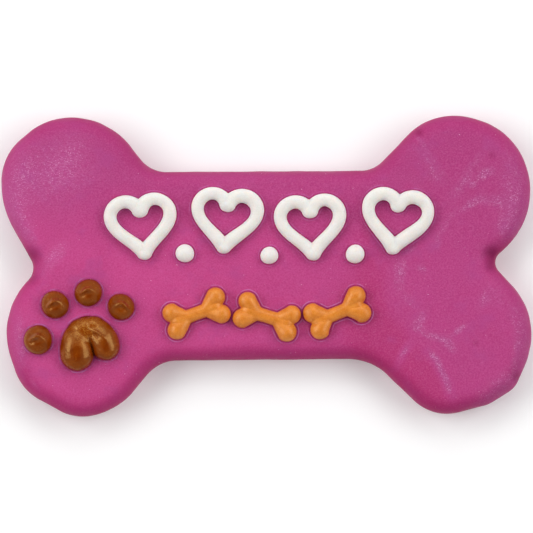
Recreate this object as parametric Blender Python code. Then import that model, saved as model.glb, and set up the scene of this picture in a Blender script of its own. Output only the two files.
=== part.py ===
"""Iced dog biscuit in the shape of a bone, lying on its flat underside.

Metres, +Z up. The origin is on the surface that the biscuit lies on, under the middle of the bone.
+X runs along the bone, away from the paw print, and +Y across it, towards the row of hearts.
The biscuit is one solid with its icing, and the piped pieces stand on it: a paw print,
a row of white hearts with dots between their points, and a row of small orange bones.
"""

import math

import bmesh
import bpy
from mathutils import Matrix, Vector
from mathutils.geometry import delaunay_2d_cdt

MM = 0.001

# Gap kept between pieces that touch, and how close corners are merged after a union
SEAT_GAP = 0.3 * MM
MERGE = 0.03 * MM

# Heights above the surface that the biscuit lies on
TOP = 11.2 * MM
WIDEST = 2.8 * MM

# Widths of the rounded edges, measured inwards from the bone's outline. Under 1, the power squares the side off.
TOP_ROUNDING = 5.0 * MM
TOP_POWER = 0.8
UNDERSIDE_ROUNDING = 1.3 * MM
TOP_ANGLES = (0, 25, 45, 62, 77, 90)
UNDERSIDE_ANGLES = (0, 35, 65)

# The bone's outline seen from above, anticlockwise: the corners of a polygon, each with the radius
# that rounds it, in millimetres
BONE_CORNERS = (
    (30.3, 27.0, 8.4),
    (-32.7, 26.6, 9.2),
    (-43.8, 40.5, 20.8),
    (-60.7, 43.2, 18.8),
    (-74.8, 31.4, 15.8),
    (-75.1, 16.7, 27.1),
    (-64.8, -1.3, 4.8),
    (-76.5, -13.3, 21.5),
    (-69.3, -35.0, 14.7),
    (-54.2, -43.2, 13.2),
    (-42.2, -40.9, 19.9),
    (-30.4, -26.8, 11.2),
    (29.4, -26.2, 16.2),
    (47.2, -43.3, 13.6),
    (62.6, -39.2, 9.0),
    (70.3, -34.6, 7.5),
    (73.9, -26.3, 11.9),
    (76.8, -13.2, 19.9),
    (63.0, 1.4, 3.5),
    (78.5, 13.7, 22.1),
    (71.0, 35.6, 19.1),
    (58.5, 42.8, 22.2),
    (45.0, 42.3, 17.6),
)

# Spacing of the mesh: turn of an arc's step, length of a straight step, and the grid under the top
ARC_STEP = math.radians(12)
STRAIGHT_STEP = 5.0 * MM
TOP_GRID = 4.5 * MM

# Gentle swells and dents in the biscuit's top: centre x, centre y, height and radius, in millimetres
SWELLS = (
    (-55, 22, 0.50, 13),
    (-54, -22, 0.45, 13),
    (54, -20, 0.55, 13),
    (54, 21, 0.50, 13),
    (-67, -1, -1.00, 5),
    (65, 1.5, -1.50, 4.5),
    (33, -23, -0.80, 7),
    (-31, -24, -0.40, 7),
)

# A piped bead's cross-section, as shares of half its width and of its height
BEAD_SECTION = ((0.72, 0.0), (1.0, 0.36), (0.74, 0.82), (0.0, 1.0), (-0.74, 0.82), (-1.0, 0.36), (-0.72, 0.0))

# A bead's round end, from its tip inwards: reach beyond the route and width, as shares of half the width
BEAD_END = ((0.97, 0.28), (0.80, 0.62), (0.45, 0.90))
TIP_HEIGHT = 0.12

# A round blob's side from its base to its top, as shares of its radius and of its height
DOT_SIDE = ((0.86, 0.0), (1.0, 0.30), (0.88, 0.66), (0.52, 0.92))
KNOB_SIDE = ((0.80, 0.0), (1.0, 0.34), (0.84, 0.74), (0.44, 0.95))
TOE_SIDE = ((0.90, 0.0), (1.0, 0.20), (0.88, 0.46), (0.62, 0.70), (0.30, 0.86), (0.13, 0.96))
ROUND_SIDES = 16

# White hearts: width over the beads, the bead's width and height, how much it swells where it starts and
# ends, and each heart's centre x, centre y in millimetres and tilt in degrees
HEART_WIDTH = 20.6 * MM
HEART_BEAD_WIDTH = 3.8 * MM
HEART_BEAD_HEIGHT = 2.7 * MM
HEART_STEPS = 13
START_BULB = 1.3
END_BULB = 1.2
HEARTS = (
    (-35.2, 11.0, 6),
    (-11.4, 12.6, -5),
    (12.6, 10.8, 4),
    (36.6, 12.4, -7),
)

# White dots between the hearts' points: height, and each one's centre x, centre y and diameter, in millimetres
DOT_HEIGHT = 2.7 * MM
DOTS = (
    (-23.0, 3.6, 5.2),
    (0.8, 3.0, 5.0),
    (25.0, 3.4, 5.3),
)

# Orange bones: length and width over the knobs, the sizes of their beads and knobs, and each bone's
# centre x, centre y in millimetres and tilt in degrees
SMALL_BONE_LENGTH = 18.6 * MM
SMALL_BONE_WIDTH = 10.6 * MM
SHANK_WIDTH = 4.1 * MM
SHANK_HEIGHT = 2.7 * MM
SHANK_STEPS = 4
KNOB_DIAMETER = 5.6 * MM
KNOB_HEIGHT = 2.9 * MM
SMALL_BONES = (
    (-19.8, -13.4, 20),
    (0.2, -14.2, -17),
    (20.0, -13.2, 22),
)

# Toes of the paw print: height, how far the peak leans, and each one's centre x, centre y and diameter
# in millimetres and the way that its peak leans in degrees
TOE_HEIGHT = 4.1 * MM
TOE_LEAN = 0.5 * MM
TOES = (
    (-64.4, -20.8, 8.2, 175),
    (-59.6, -10.9, 7.9, 190),
    (-50.2, -7.5, 7.8, 180),
    (-41.0, -11.5, 7.6, 20),
)

# Pad of the paw print: two beads that start together at its top, each with its route and half width there
PAD_HEIGHT = 3.4 * MM
PAD_STEPS = 8
PAD_BEADS = (
    ((-50.5, -19.5, 5.5), (-51.7, -21.1, 5.3), (-52.8, -23.0, 5.0), (-53.5, -24.7, 4.7)),
    ((-50.0, -19.5, 5.4), (-48.4, -20.2, 5.0), (-46.8, -21.2, 4.5), (-45.4, -22.3, 4.2)),
)

SMOOTH_ANGLE = math.radians(50)


def material(name, colour, roughness):
    made = bpy.data.materials.new(name)
    made.use_nodes = True
    shader = made.node_tree.nodes["Principled BSDF"]
    shader.inputs["Base Color"].default_value = colour
    shader.inputs["Roughness"].default_value = roughness
    shader.inputs["Metallic"].default_value = 0.0
    made.diffuse_color = colour
    return made


def straight(start, end):
    """Samples along the straight stretch from the sample start to the point end, without its two ends."""
    point, outwards = start
    steps = max(1, round((end - point).length / STRAIGHT_STEP))
    return [(point.lerp(end, step / steps), outwards) for step in range(1, steps)]


def rounded_outline(corners):
    """The outline as (point, unit vector that points outwards), anticlockwise, with arcs at its corners."""
    samples = []
    points = [Vector((x, y)) * MM for x, y, _ in corners]
    for i, corner in enumerate(points):
        radius = corners[i][2] * MM
        back = (points[i - 1] - corner).normalized()
        ahead = (points[(i + 1) % len(points)] - corner).normalized()
        half = back.angle(ahead) / 2
        centre = corner + (back + ahead).normalized() * radius / math.sin(half)
        first = corner + back * radius / math.tan(half) - centre
        sweep = math.pi - 2 * half
        turn = 1 if back.cross(ahead) < 0 else -1
        if samples:
            samples += straight(samples[-1], centre + first)
        steps = max(2, math.ceil(sweep / ARC_STEP))
        for step in range(steps + 1):
            spoke = Matrix.Rotation(turn * sweep * step / steps, 2) @ first
            samples.append((centre + spoke, spoke.normalized() * turn))
    return samples + straight(samples[-1], samples[0][0])


def centred(outline):
    """The outline with the middle of its box at the origin."""
    middle = Vector((0, 0))
    for axis in range(2):
        places = [point[axis] for point, _ in outline]
        middle[axis] = (min(places) + max(places)) / 2
    return [(point - middle, outwards) for point, outwards in outline]


def swell(x, y):
    """Height of the biscuit's top above TOP at a point."""
    total = 0.0
    for centre_x, centre_y, height, radius in SWELLS:
        distance = math.hypot(x / MM - centre_x, y / MM - centre_y) / radius
        total += height * MM * math.exp(-distance * distance)
    return total


def ring(outline, inset, height, swelling):
    """The outline moved inwards by inset at a height, with a share of the top's swells."""
    points = []
    for point, outwards in outline:
        x, y = point - outwards * inset
        points.append(Vector((x, y, height + swelling * swell(x, y))))
    return points


def skin(rings, start=None, end=None):
    """A bmesh of bands between rings of equal length, and its loops. A start or end point closes its side."""
    mesh = bmesh.new()
    loops = [[mesh.verts.new(point) for point in points] for points in rings]
    for lower, upper in zip(loops, loops[1:]):
        for i in range(len(lower)):
            mesh.faces.new((lower[i - 1], lower[i], upper[i], upper[i - 1]))
    for tip, loop in ((start, loops[0]), (end, loops[-1])):
        if tip is not None:
            apex = mesh.verts.new(tip)
            for i in range(len(loop)):
                mesh.faces.new((loop[i - 1], loop[i], apex))
    return mesh, loops


def clearance(plan, point):
    """Distance from a point inside the plan to its edge, or -1 outside it."""
    inside = False
    nearest = math.inf
    for i, end in enumerate(plan):
        start = plan[i - 1]
        if (start.y > point.y) != (end.y > point.y):
            crossing = start.x + (point.y - start.y) / (end.y - start.y) * (end.x - start.x)
            inside ^= point.x < crossing
        along = end - start
        share = min(1.0, max(0.0, (point - start).dot(along) / along.length_squared))
        nearest = min(nearest, (point - start - along * share).length)
    return nearest if inside else -1


def grid_inside(plan, spacing):
    """Points of a triangular grid inside the plan, over half a spacing from its edge."""
    low_x, high_x = min(p.x for p in plan), max(p.x for p in plan)
    low_y, high_y = min(p.y for p in plan), max(p.y for p in plan)
    row_step = spacing * math.sqrt(0.75)
    found = []
    for row in range(int((high_y - low_y) / row_step) + 1):
        for column in range(int((high_x - low_x) / spacing) + 1):
            point = Vector((low_x + (column + 0.5 * (row % 2)) * spacing, low_y + row * row_step))
            if clearance(plan, point) > 0.55 * spacing:
                found.append(point)
    return found


def fill(mesh, loop, inner, height):
    """Fills a loop with triangles that also use the inner points, which lie at height(x, y)."""
    plan = [vert.co.xy for vert in loop]
    edges = [(i, (i + 1) % len(plan)) for i in range(len(plan))]
    points, _, faces, origins, _, _ = delaunay_2d_cdt(plan + inner, edges, [], 1, 1e-7)
    verts = []
    for point, origin in zip(points, origins):
        on_loop = [i for i in origin if i < len(loop)]
        verts.append(loop[on_loop[0]] if on_loop else mesh.verts.new((*point, height(*point))))
    for face in faces:
        mesh.faces.new([verts[i] for i in face])


def new_object(name, mesh, finish):
    """A node from a bmesh, with its faces out, shaded smooth but for its sharp edges."""
    bmesh.ops.recalc_face_normals(mesh, faces=mesh.faces)
    data = bpy.data.meshes.new(name)
    mesh.to_mesh(data)
    mesh.free()
    data.materials.append(finish)
    data.shade_smooth()
    data.set_sharp_from_angle(angle=SMOOTH_ANGLE)
    made = bpy.data.objects.new(name, data)
    bpy.context.scene.collection.objects.link(made)
    return made


def biscuit_profile():
    """The biscuit's side from its underside to its top: (inset, height, share of the top's swells)."""
    profile = []
    for degrees in UNDERSIDE_ANGLES:
        angle = math.radians(degrees)
        inset = UNDERSIDE_ROUNDING * (1 - math.sin(angle))
        profile.append((inset, WIDEST * (1 - math.cos(angle)), 0.0))
    for degrees in TOP_ANGLES:
        angle = math.radians(degrees)
        inset = TOP_ROUNDING * (1 - math.cos(angle) ** TOP_POWER)
        rise = math.sin(angle) ** TOP_POWER
        profile.append((inset, WIDEST + (TOP - WIDEST) * rise, rise * rise))
    return profile


def make_biscuit(finish):
    outline = centred(rounded_outline(BONE_CORNERS))
    mesh, loops = skin([ring(outline, *step) for step in biscuit_profile()])
    fill(mesh, loops[0], [], None)
    inner = grid_inside([vert.co.xy for vert in loops[-1]], TOP_GRID)
    fill(mesh, loops[-1], inner, lambda x, y: TOP + swell(x, y))
    return new_object("biscuit", mesh, finish)


def smooth_route(route, steps):
    """Evenly spaced points on a smooth curve through the route's points (x, y, half width)."""
    points = [Vector(point) for point in route]
    dense = []
    for i in range(len(points) - 1):
        start, end = points[i], points[i + 1]
        lead = (end - points[max(i - 1, 0)]) / 2
        trail = (points[min(i + 2, len(points) - 1)] - start) / 2
        for part in range(12):
            t = part / 12
            bend = (2 * t**3 - 3 * t**2 + 1) * start + (t**3 - 2 * t**2 + t) * lead
            dense.append(bend + (3 * t**2 - 2 * t**3) * end + (t**3 - t**2) * trail)
    dense.append(points[-1])
    lengths = [0.0]
    for a, b in zip(dense, dense[1:]):
        lengths.append(lengths[-1] + (b.xy - a.xy).length)
    found = []
    for step in range(steps + 1):
        target = lengths[-1] * step / steps
        i = min(max(1, sum(length < target for length in lengths)), len(dense) - 1)
        share = (target - lengths[i - 1]) / (lengths[i] - lengths[i - 1])
        found.append(dense[i - 1].lerp(dense[i], share))
    return found


def bead(route, height):
    """A piped bead along a route of (x, y, half width), with round ends and a flat base at z 0."""
    first = (route[1].xy - route[0].xy).normalized()
    last = (route[-1].xy - route[-2].xy).normalized()
    stations = []
    for reach, size in BEAD_END:
        stations.append((route[0].xy - first * route[0].z * reach, first, route[0].z, size))
    for i, here in enumerate(route):
        along = (route[min(i + 1, len(route) - 1)].xy - route[max(i - 1, 0)].xy).normalized()
        stations.append((here.xy, along, here.z, 1.0))
    for reach, size in reversed(BEAD_END):
        stations.append((route[-1].xy + last * route[-1].z * reach, last, route[-1].z, size))
    middle = sum(point.z for point in route) / len(route)
    rings = []
    for centre, along, half_width, size in stations:
        across = Vector((along.y, -along.x)) * half_width * size
        rise = height * math.sqrt(size * half_width / middle)
        rings.append([Vector((*(centre + across * side), up * rise)) for side, up in BEAD_SECTION])
    start = Vector((*(route[0].xy - first * route[0].z), TIP_HEIGHT * height))
    end = Vector((*(route[-1].xy + last * route[-1].z), TIP_HEIGHT * height))
    return skin(rings, start, end)[0]


def blob(centre, radius, height, side, lean=Vector((0, 0))):
    """A round blob with a flat base at z 0, whose upper rings lean over."""
    rings = []
    for share, up in side:
        middle = centre + lean * up**3
        spokes = [math.tau * i / ROUND_SIDES for i in range(ROUND_SIDES)]
        around = [Vector((math.cos(angle), math.sin(angle))) for angle in spokes]
        rings.append([Vector((*(middle + spoke * share * radius), up * height)) for spoke in around])
    return skin(rings, Vector((*centre, 0)), Vector((*(centre + lean), height)))[0]


def joined(name, meshes, finish):
    """One solid from overlapping bmeshes, by a Boolean union on a collection that is then removed."""
    body = new_object(name, meshes[0], finish)
    others = bpy.data.collections.new(name + "_others")
    for mesh in meshes[1:]:
        other = new_object(name + "_other", mesh, finish)
        bpy.context.scene.collection.objects.unlink(other)
        others.objects.link(other)
    union = body.modifiers.new("union", "BOOLEAN")
    union.operation = "UNION"
    union.operand_type = "COLLECTION"
    union.collection = others
    union.solver = "EXACT"
    fused = bmesh.new()
    fused.from_object(body, bpy.context.evaluated_depsgraph_get())
    bmesh.ops.remove_doubles(fused, verts=fused.verts, dist=MERGE)
    bmesh.ops.dissolve_degenerate(fused, dist=MERGE, edges=fused.edges)
    bmesh.ops.triangulate(fused, faces=fused.faces)
    for unused in [*others.objects, body]:
        bpy.data.objects.remove(unused)
    bpy.data.collections.remove(others)
    return new_object(name, fused, finish)


def seat(obj, x=0.0, y=0.0, tilt=0.0):
    """Turns and moves a piped piece to its place, with its base following the biscuit's top across the gap."""
    turn = Matrix.Rotation(math.radians(tilt), 2)
    centre = Vector((x, y)) * MM
    for vert in obj.data.vertices:
        vert.co.z += SEAT_GAP + swell(*(turn @ vert.co.xy + centre))
    obj.location = (*centre, TOP)
    obj.rotation_euler.z = math.radians(tilt)


def heart_half(side):
    """Half of the heart curve, from its dip to its point, as (x, y, half width)."""
    scale = (HEART_WIDTH - HEART_BEAD_WIDTH) / 32
    start_bulb = START_BULB if side > 0 else END_BULB
    route = []
    for step in range(HEART_STEPS):
        share = step / (HEART_STEPS - 1)
        angle = 0.12 + (math.pi - 0.12) * share
        x = 16 * math.sin(angle) ** 3
        y = 13 * math.cos(angle) - 5 * math.cos(2 * angle) - 2 * math.cos(3 * angle) - math.cos(4 * angle)
        swelling = 1 + (start_bulb - 1) * (1 - share) ** 6 + (END_BULB - 1) * share**6
        route.append((side * x * scale, (y + 2.5) * scale, HEART_BEAD_WIDTH / 2 * swelling))
    return smooth_route(route, HEART_STEPS)


def make_hearts(finish):
    for i, (x, y, tilt) in enumerate(HEARTS, 1):
        halves = [bead(heart_half(side), HEART_BEAD_HEIGHT) for side in (-1, 1)]
        seat(joined(f"heart_{i}", halves, finish), x, y, tilt)


def make_dots(finish):
    for i, (x, y, diameter) in enumerate(DOTS, 1):
        mesh = blob(Vector((0, 0)), diameter / 2 * MM, DOT_HEIGHT, DOT_SIDE)
        seat(new_object(f"dot_{i}", mesh, finish), x, y)


def make_small_bones(finish):
    """Each is a straight bead with two knobs at each end."""
    knob_x = (SMALL_BONE_LENGTH - KNOB_DIAMETER) / 2
    knob_y = (SMALL_BONE_WIDTH - KNOB_DIAMETER) / 2
    shank = [(knob_x * share, 0, SHANK_WIDTH / 2) for share in (-0.9, -0.3, 0.3, 0.9)]
    for i, (x, y, tilt) in enumerate(SMALL_BONES, 1):
        meshes = [bead(smooth_route(shank, SHANK_STEPS), SHANK_HEIGHT)]
        for end in (-1, 1):
            for side in (-1, 1):
                centre = Vector((end * knob_x, side * knob_y))
                meshes.append(blob(centre, KNOB_DIAMETER / 2, KNOB_HEIGHT, KNOB_SIDE))
        seat(joined(f"small_bone_{i}", meshes, finish), x, y, tilt)


def make_paw(finish):
    for i, (x, y, diameter, way) in enumerate(TOES, 1):
        lean = Matrix.Rotation(math.radians(way), 2) @ Vector((TOE_LEAN, 0))
        mesh = blob(Vector((0, 0)), diameter / 2 * MM, TOE_HEIGHT, TOE_SIDE, lean)
        seat(new_object(f"toe_{i}", mesh, finish), x, y)
    beads = []
    for route in PAD_BEADS:
        points = [Vector(point) * MM for point in route]
        beads.append(bead(smooth_route(points, PAD_STEPS), PAD_HEIGHT))
    seat(joined("pad", beads, finish))


def main():
    for obj in list(bpy.data.objects):
        bpy.data.objects.remove(obj)
    white = material("white_icing", (0.86, 0.84, 0.79, 1), 0.45)
    make_biscuit(material("magenta_icing", (0.52, 0.074, 0.235, 1), 0.45))
    make_hearts(white)
    make_dots(white)
    make_small_bones(material("orange_icing", (0.75, 0.27, 0.055, 1), 0.40))
    make_paw(material("brown_icing", (0.25, 0.075, 0.010, 1), 0.35))


main()
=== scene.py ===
"""Looks of the iced dog biscuit: its uneven icing, the piped paw print, hearts, dots and small bones.

Metres, +Z up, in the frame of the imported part. Sizes marked in millimetres are turned into metres
where a mesh is made. The plan of the biscuit, the piping's places and their sizes repeat the part's own.
"""

import math

import bpy
import numpy as np
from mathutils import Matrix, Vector
from mathutils.geometry import delaunay_2d_cdt


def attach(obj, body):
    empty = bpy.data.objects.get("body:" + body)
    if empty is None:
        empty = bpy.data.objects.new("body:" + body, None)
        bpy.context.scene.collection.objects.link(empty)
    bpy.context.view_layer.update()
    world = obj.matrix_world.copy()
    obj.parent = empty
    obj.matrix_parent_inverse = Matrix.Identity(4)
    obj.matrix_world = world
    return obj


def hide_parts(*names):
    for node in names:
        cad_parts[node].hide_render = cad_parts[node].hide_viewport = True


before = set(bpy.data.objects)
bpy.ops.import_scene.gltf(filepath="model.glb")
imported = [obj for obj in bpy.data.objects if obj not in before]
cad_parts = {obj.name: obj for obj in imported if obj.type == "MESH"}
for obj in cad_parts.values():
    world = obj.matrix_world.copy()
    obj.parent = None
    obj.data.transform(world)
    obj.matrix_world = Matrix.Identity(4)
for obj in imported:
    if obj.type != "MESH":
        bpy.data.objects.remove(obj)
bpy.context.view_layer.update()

MM = 0.001

# The biscuit, in millimetres: the heights of its top and of where it is widest, the width of its top's
# rounded edge and the power that shapes it, the same width underneath, and how uneven the underside is
TOP = 11.2
WIDEST = 2.8
TOP_ROUNDING = 5.0
TOP_POWER = 0.8
UNDERSIDE_ROUNDING = 1.3
UNDERSIDE_UNEVEN = 0.05

# The bone's outline seen from above, anticlockwise: the corners of a polygon, each with the radius
# that rounds it, in millimetres
BONE_CORNERS = (
    (30.3, 27.0, 8.4),
    (-32.7, 26.6, 9.2),
    (-43.8, 40.5, 20.8),
    (-60.7, 43.2, 18.8),
    (-74.8, 31.4, 15.8),
    (-75.1, 16.7, 27.1),
    (-64.8, -1.3, 4.8),
    (-76.5, -13.3, 21.5),
    (-69.3, -35.0, 14.7),
    (-54.2, -43.2, 13.2),
    (-42.2, -40.9, 19.9),
    (-30.4, -26.8, 11.2),
    (29.4, -26.2, 16.2),
    (47.2, -43.3, 13.6),
    (62.6, -39.2, 9.0),
    (70.3, -34.6, 7.5),
    (73.9, -26.3, 11.9),
    (76.8, -13.2, 19.9),
    (63.0, 1.4, 3.5),
    (78.5, 13.7, 22.1),
    (71.0, 35.6, 19.1),
    (58.5, 42.8, 22.2),
    (45.0, 42.3, 17.6),
)

# Swells and dents in the biscuit's top, then small dents in the icing alone: centre x, centre y,
# height and radius, in millimetres
SWELLS = (
    (-55, 22, 0.50, 13),
    (-54, -22, 0.45, 13),
    (54, -20, 0.55, 13),
    (54, 21, 0.50, 13),
    (-67, -1, -1.00, 5),
    (65, 1.5, -1.50, 4.5),
    (33, -23, -0.80, 7),
    (-31, -24, -0.40, 7),
)
SMALL_DENTS = (
    (43.3, 36.7, -0.50, 1.3),
    (63.8, 31.4, -0.14, 1.6),
    (68.6, 34.3, -0.15, 1.2),
    (70.0, 24.4, -0.16, 1.2),
    (67.5, -15.8, -0.22, 1.5),
    (64.1, -16.9, -0.14, 1.2),
    (58.2, -21.5, -0.20, 1.3),
    (58.2, -31.4, -0.15, 1.0),
    (70.6, -30.6, -0.60, 1.4),
    (-66.5, -31.0, -0.18, 2.5),
    (62.0, 3.2, -0.40, 2.6),
    (63.4, 3.2, -1.10, 1.3),
    (64.0, 1.0, -0.90, 1.0),
)

# How many pinholes are scattered in the icing
PINHOLES = 22

# Folds and dents where shade is painted in as dark colour: centre x, centre y and radius in
# millimetres, and strength
FOLD_SHADE = (
    (63.5, 3.4, 3.8, 0.62),
    (63.4, 0.2, 3.0, 0.50),
    (-66.3, 3.0, 3.6, 0.45),
    (-66.4, -3.4, 3.2, 0.30),
    (43.0, 37.7, 1.9, 0.40),
    (70.7, -31.3, 2.6, 0.50),
    (59.0, -21.8, 1.6, 0.22),
    (63.6, 31.2, 1.8, 0.22),
)

# Pale bloomed streaks and speckle on the icing under a painted sheen haze, and places (below zero) where
# shade is painted as deeper colour: centre x, centre y, length, width in millimetres, the tilt of the
# length in degrees, and the strength
BLOOM_SHEEN_AND_SHADE = (
    (-59.4, 26.6, 33, 25, 60, 0.46),
    (-60.1, 26.6, 10, 7, 45, 0.16),
    (-55.0, 31.4, 12, 8, 45, 0.25),
    (-71.0, 15.5, 16, 4, -62, 0.50),
    (-67.5, 8.8, 7, 4, -55, 0.60),
    (-59.6, 2.9, 9, 5, 45, 0.75),
    (-63.0, -2.0, 5, 4, 0, 0.30),
    (-69.5, -21.0, 15, 3, 92, 0.55),
    (-65.5, -33.4, 5, 1.4, -50, 0.50),
    (-72.0, 20.0, 34, 10, 82, 0.60),
    (-71.5, -20.0, 30, 9, 92, 0.55),
    (0.0, 25.0, 90, 6, 0, 0.45),
    (72.0, 18.5, 36, 12, 97, 0.80),
    (55.0, 22.7, 15, 3.2, 54, 0.55),
    (61.5, 25.9, 5, 2.4, 35, 1.00),
    (58.0, 22.9, 2.4, 1.8, 0, 0.80),
    (59.5, 30.5, 12, 3, 50, 0.30),
    (46.8, 28.2, 12, 4.5, -62, 0.55),
    (43.5, 35.3, 4, 1.4, -50, 0.60),
    (39.9, 32.7, 9, 6, 40, 0.35),
    (43.0, 20.5, 9, 4, -70, 0.25),
    (49.8, 10.8, 13, 2.6, 58, 0.55),
    (57.0, 17.0, 8, 2.4, 36, 0.75),
    (63.6, 18.3, 11, 3.2, -3, 0.65),
    (68.6, 11.6, 11, 7, 60, 0.70),
    (40.2, 4.4, 7, 1.8, 20, 0.55),
    (48.4, 5.8, 3, 1.6, 50, 0.55),
    (37.6, -0.6, 7, 4, 70, 0.62),
    (43.8, -0.8, 4, 2.4, -30, 0.80),
    (37.2, -5.2, 12, 6, 85, 0.60),
    (41.2, -10.2, 6, 4, -40, 0.50),
    (43.5, -15.2, 6, 3.2, 50, 0.70),
    (42.6, -17.6, 5, 3.2, -30, 0.60),
    (47.5, -20.0, 8, 2.8, -15, 0.85),
    (51.7, -22.6, 6, 3.2, -42, 0.85),
    (54.4, -18.0, 6, 2.0, 35, 1.10),
    (39.6, -23.4, 5, 2.2, 50, 1.00),
    (37.9, -25.8, 7, 2.6, 65, 1.20),
    (47.2, -25.6, 6, 2.6, -45, 1.00),
    (49.0, -29.0, 8, 2.0, -64, 1.25),
    (51.0, -33.4, 7, 2.4, -76, 1.45),
    (61.3, -9.8, 6, 3.4, 60, 0.55),
    (60.9, -25.2, 8, 4, 90, 0.50),
    (72.3, -23.9, 11, 5, 82, 1.00),
    (67.7, -32.8, 12, 7, 42, 0.45),
    (65.5, -36.0, 26, 7, 33, 0.85),
    (73.0, -20.0, 26, 8, 92, 0.45),
    (65.0, -6.5, 24, 12, -40, 0.45),
    (71.5, -15.5, 10, 6, 90, 0.35),
    (29.5, -8.0, 52, 15, 88, -0.55),
    (33.0, -22.5, 24, 12, -35, -0.60),
    (45.0, -33.5, 30, 13, -48, -0.60),
    (62.0, -19.0, 20, 12, 40, -0.25),
    (58.0, -4.0, 22, 8, 55, -0.30),
)

# Spacing of the biscuit's mesh, in millimetres: along its outline, in the open icing, beside the
# piping, under the piping and on the underside. BESIDE is the least and greatest distance from the
# piping's footprint that counts as beside it.
OUTLINE_STEP = 0.6
OPEN_STEP = 0.75
NEAR_STEP = 0.25
HIDDEN_STEP = 1.2
UNDERSIDE_STEP = 2.2
BESIDE = (-0.6, 1.5)

# Half the length and width that the mesh's grids cover, in millimetres
GRID_REACH = (76, 43)

# Where the biscuit's lower and upper rounded edges have rings of vertices, in degrees
LOWER_RINGS = (0, 20, 40, 60, 75)
UPPER_RINGS = (0, 9, 18, 27, 36, 45, 53, 61, 68, 75, 81, 86, 90)

# The icing beside the piping, in millimetres: a groove's depth and width, and a low rim's height,
# distance from the piping and width
GROOVE = (0.05, 0.24)
RIM = (0.09, 0.55, 0.18)

# Piped beads, in millimetres: how far they sink into the icing, how fine their skin is, and the spacing
# of points along a bead and along a ridge or hollow in it
SINK = 0.35
VOXEL = 0.17
BEAD_STEP = 0.45
STROKE_STEP = 0.1

# White hearts: width over the beads, bead width and height, the angles in radians at which each half of
# the heart's curve starts and ends, and each heart's centre x, centre y and tilt
HEART_WIDTH = 20.6
HEART_BEAD = (3.8, 2.7)
HEART_ANGLES = (0.30, math.pi * 0.925)
HEARTS = (
    (-35.2, 11.0, 6),
    (-11.4, 12.6, -5),
    (12.6, 10.8, 4),
    (36.6, 12.4, -7),
)

# White dots: height, and each one's centre x, centre y and diameter
DOT_HEIGHT = 2.7
DOTS = (
    (-23.0, 3.6, 5.2),
    (0.8, 3.0, 5.0),
    (25.0, 3.4, 5.3),
)

# Orange bones: length and width over the knobs, shank width and height, knob diameter and height,
# and each bone's centre x, centre y and tilt
SMALL_BONE_SIZE = (18.6, 10.6)
SHANK = (4.1, 2.7)
KNOB = (5.6, 2.9)
SMALL_BONES = (
    (-19.8, -13.4, 20),
    (0.2, -14.2, -17),
    (20.0, -13.2, 22),
)

# Paw print: toe height, how much of it is the curl, each toe's centre x, centre y, diameter and the
# turn of its swirl, the height of the pad's beads, the power that narrows their crest, and the route
# of each: x, y, half width and how far it is raised
TOE_HEIGHT = 4.1
TOE_CURL = 0.5
TOES = (
    (-64.4, -20.8, 8.2, -4),
    (-59.6, -10.9, 7.9, 8),
    (-50.2, -7.5, 7.8, 0),
    (-41.0, -11.5, 7.6, 174),
)
PAD_HEIGHT = 3.4
PAD_CREST = 1.35
PAD_BEADS = (
    ((-51.8, -19.6, 5.0, -0.5), (-50.2, -19.1, 5.2, -0.6), (-48.6, -19.3, 4.9, -0.5)),
    (
        (-52.1, -18.9, 4.3, -0.4),
        (-53.1, -20.8, 4.5, 0.3),
        (-53.5, -22.9, 4.7, 0.8),
        (-53.4, -24.9, 4.75, 0.7),
    ),
    (
        (-48.6, -17.7, 3.7, -0.3),
        (-47.0, -19.3, 4.0, 0.3),
        (-45.8, -21.0, 4.1, 0.6),
        (-45.3, -22.6, 4.05, 0.5),
    ),
)

# Where the nozzle left a toe: a ridge that curls round to a tip, and the hollow under it. Each point
# is x, y, height and width, with x, y and width in shares of the toe's radius
TOE_RIDGE = (
    (0.46, -0.30, 0.05, 0.30),
    (0.44, 0.00, 0.34, 0.26),
    (0.24, 0.20, 0.64, 0.20),
    (-0.04, 0.26, 0.80, 0.19),
    (-0.28, 0.14, 0.78, 0.15),
    (-0.50, -0.04, 0.46, 0.12),
)
TOE_HOLLOW = (
    (0.20, -0.08, -0.12, 0.24),
    (-0.10, -0.06, -0.40, 0.20),
    (-0.36, -0.14, -0.28, 0.17),
)

# The pad's cleft, the lip where its second bead starts and the fold under the lip: x, y, height
# and width
PAD_CLEFT = (
    (-50.2, -19.2, -0.05, 0.40),
    (-49.7, -21.0, -0.45, 0.32),
    (-49.2, -22.8, -0.85, 0.30),
    (-48.8, -24.6, -1.10, 0.34),
    (-48.5, -26.4, -1.10, 0.45),
)
PAD_LIP = (
    (-49.6, -17.6, 0.05, 0.50),
    (-48.2, -18.3, 0.45, 0.38),
    (-46.9, -19.2, 0.45, 0.40),
    (-45.2, -20.9, 0.12, 0.70),
)
PAD_FOLD = (
    (-49.0, -18.9, -0.10, 0.35),
    (-48.3, -19.4, -0.50, 0.28),
    (-47.6, -20.2, -0.20, 0.30),
)

# The photograph: its width in pixels, and the millimetres that one pixel covers on the biscuit
PHOTO_WIDTH = 533
MM_PER_PIXEL = 0.28295

# The camera: focal length and sensor width, and the x and y it looks straight down from, in millimetres
LENS = 600
SENSOR_WIDTH = 36
CAMERA_PLACE = (0.01, -0.12)

# Softboxes that face the biscuit: name, place and size in metres, and watts
SOFTBOXES = (
    ("softbox_left", (-1.50, 0.34, 1.25), (1.90, 0.85), 22.1),
    ("softbox_right", (1.50, 0.34, 1.25), (1.90, 0.85), 17.9),
    ("softbox_top", (0.10, 1.55, 1.30), (1.60, 0.90), 9.8),
)

# The studio's light from all round, which darkens overhead: where the change starts and ends, as shares
# of straight up, and the light's strength below and above it
SKY_FADE = (0.78, 0.94)
SKY_STRENGTH = (0.48, 0.06)

# Half the floor's width, in millimetres
FLOOR_HALF = 900

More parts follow.
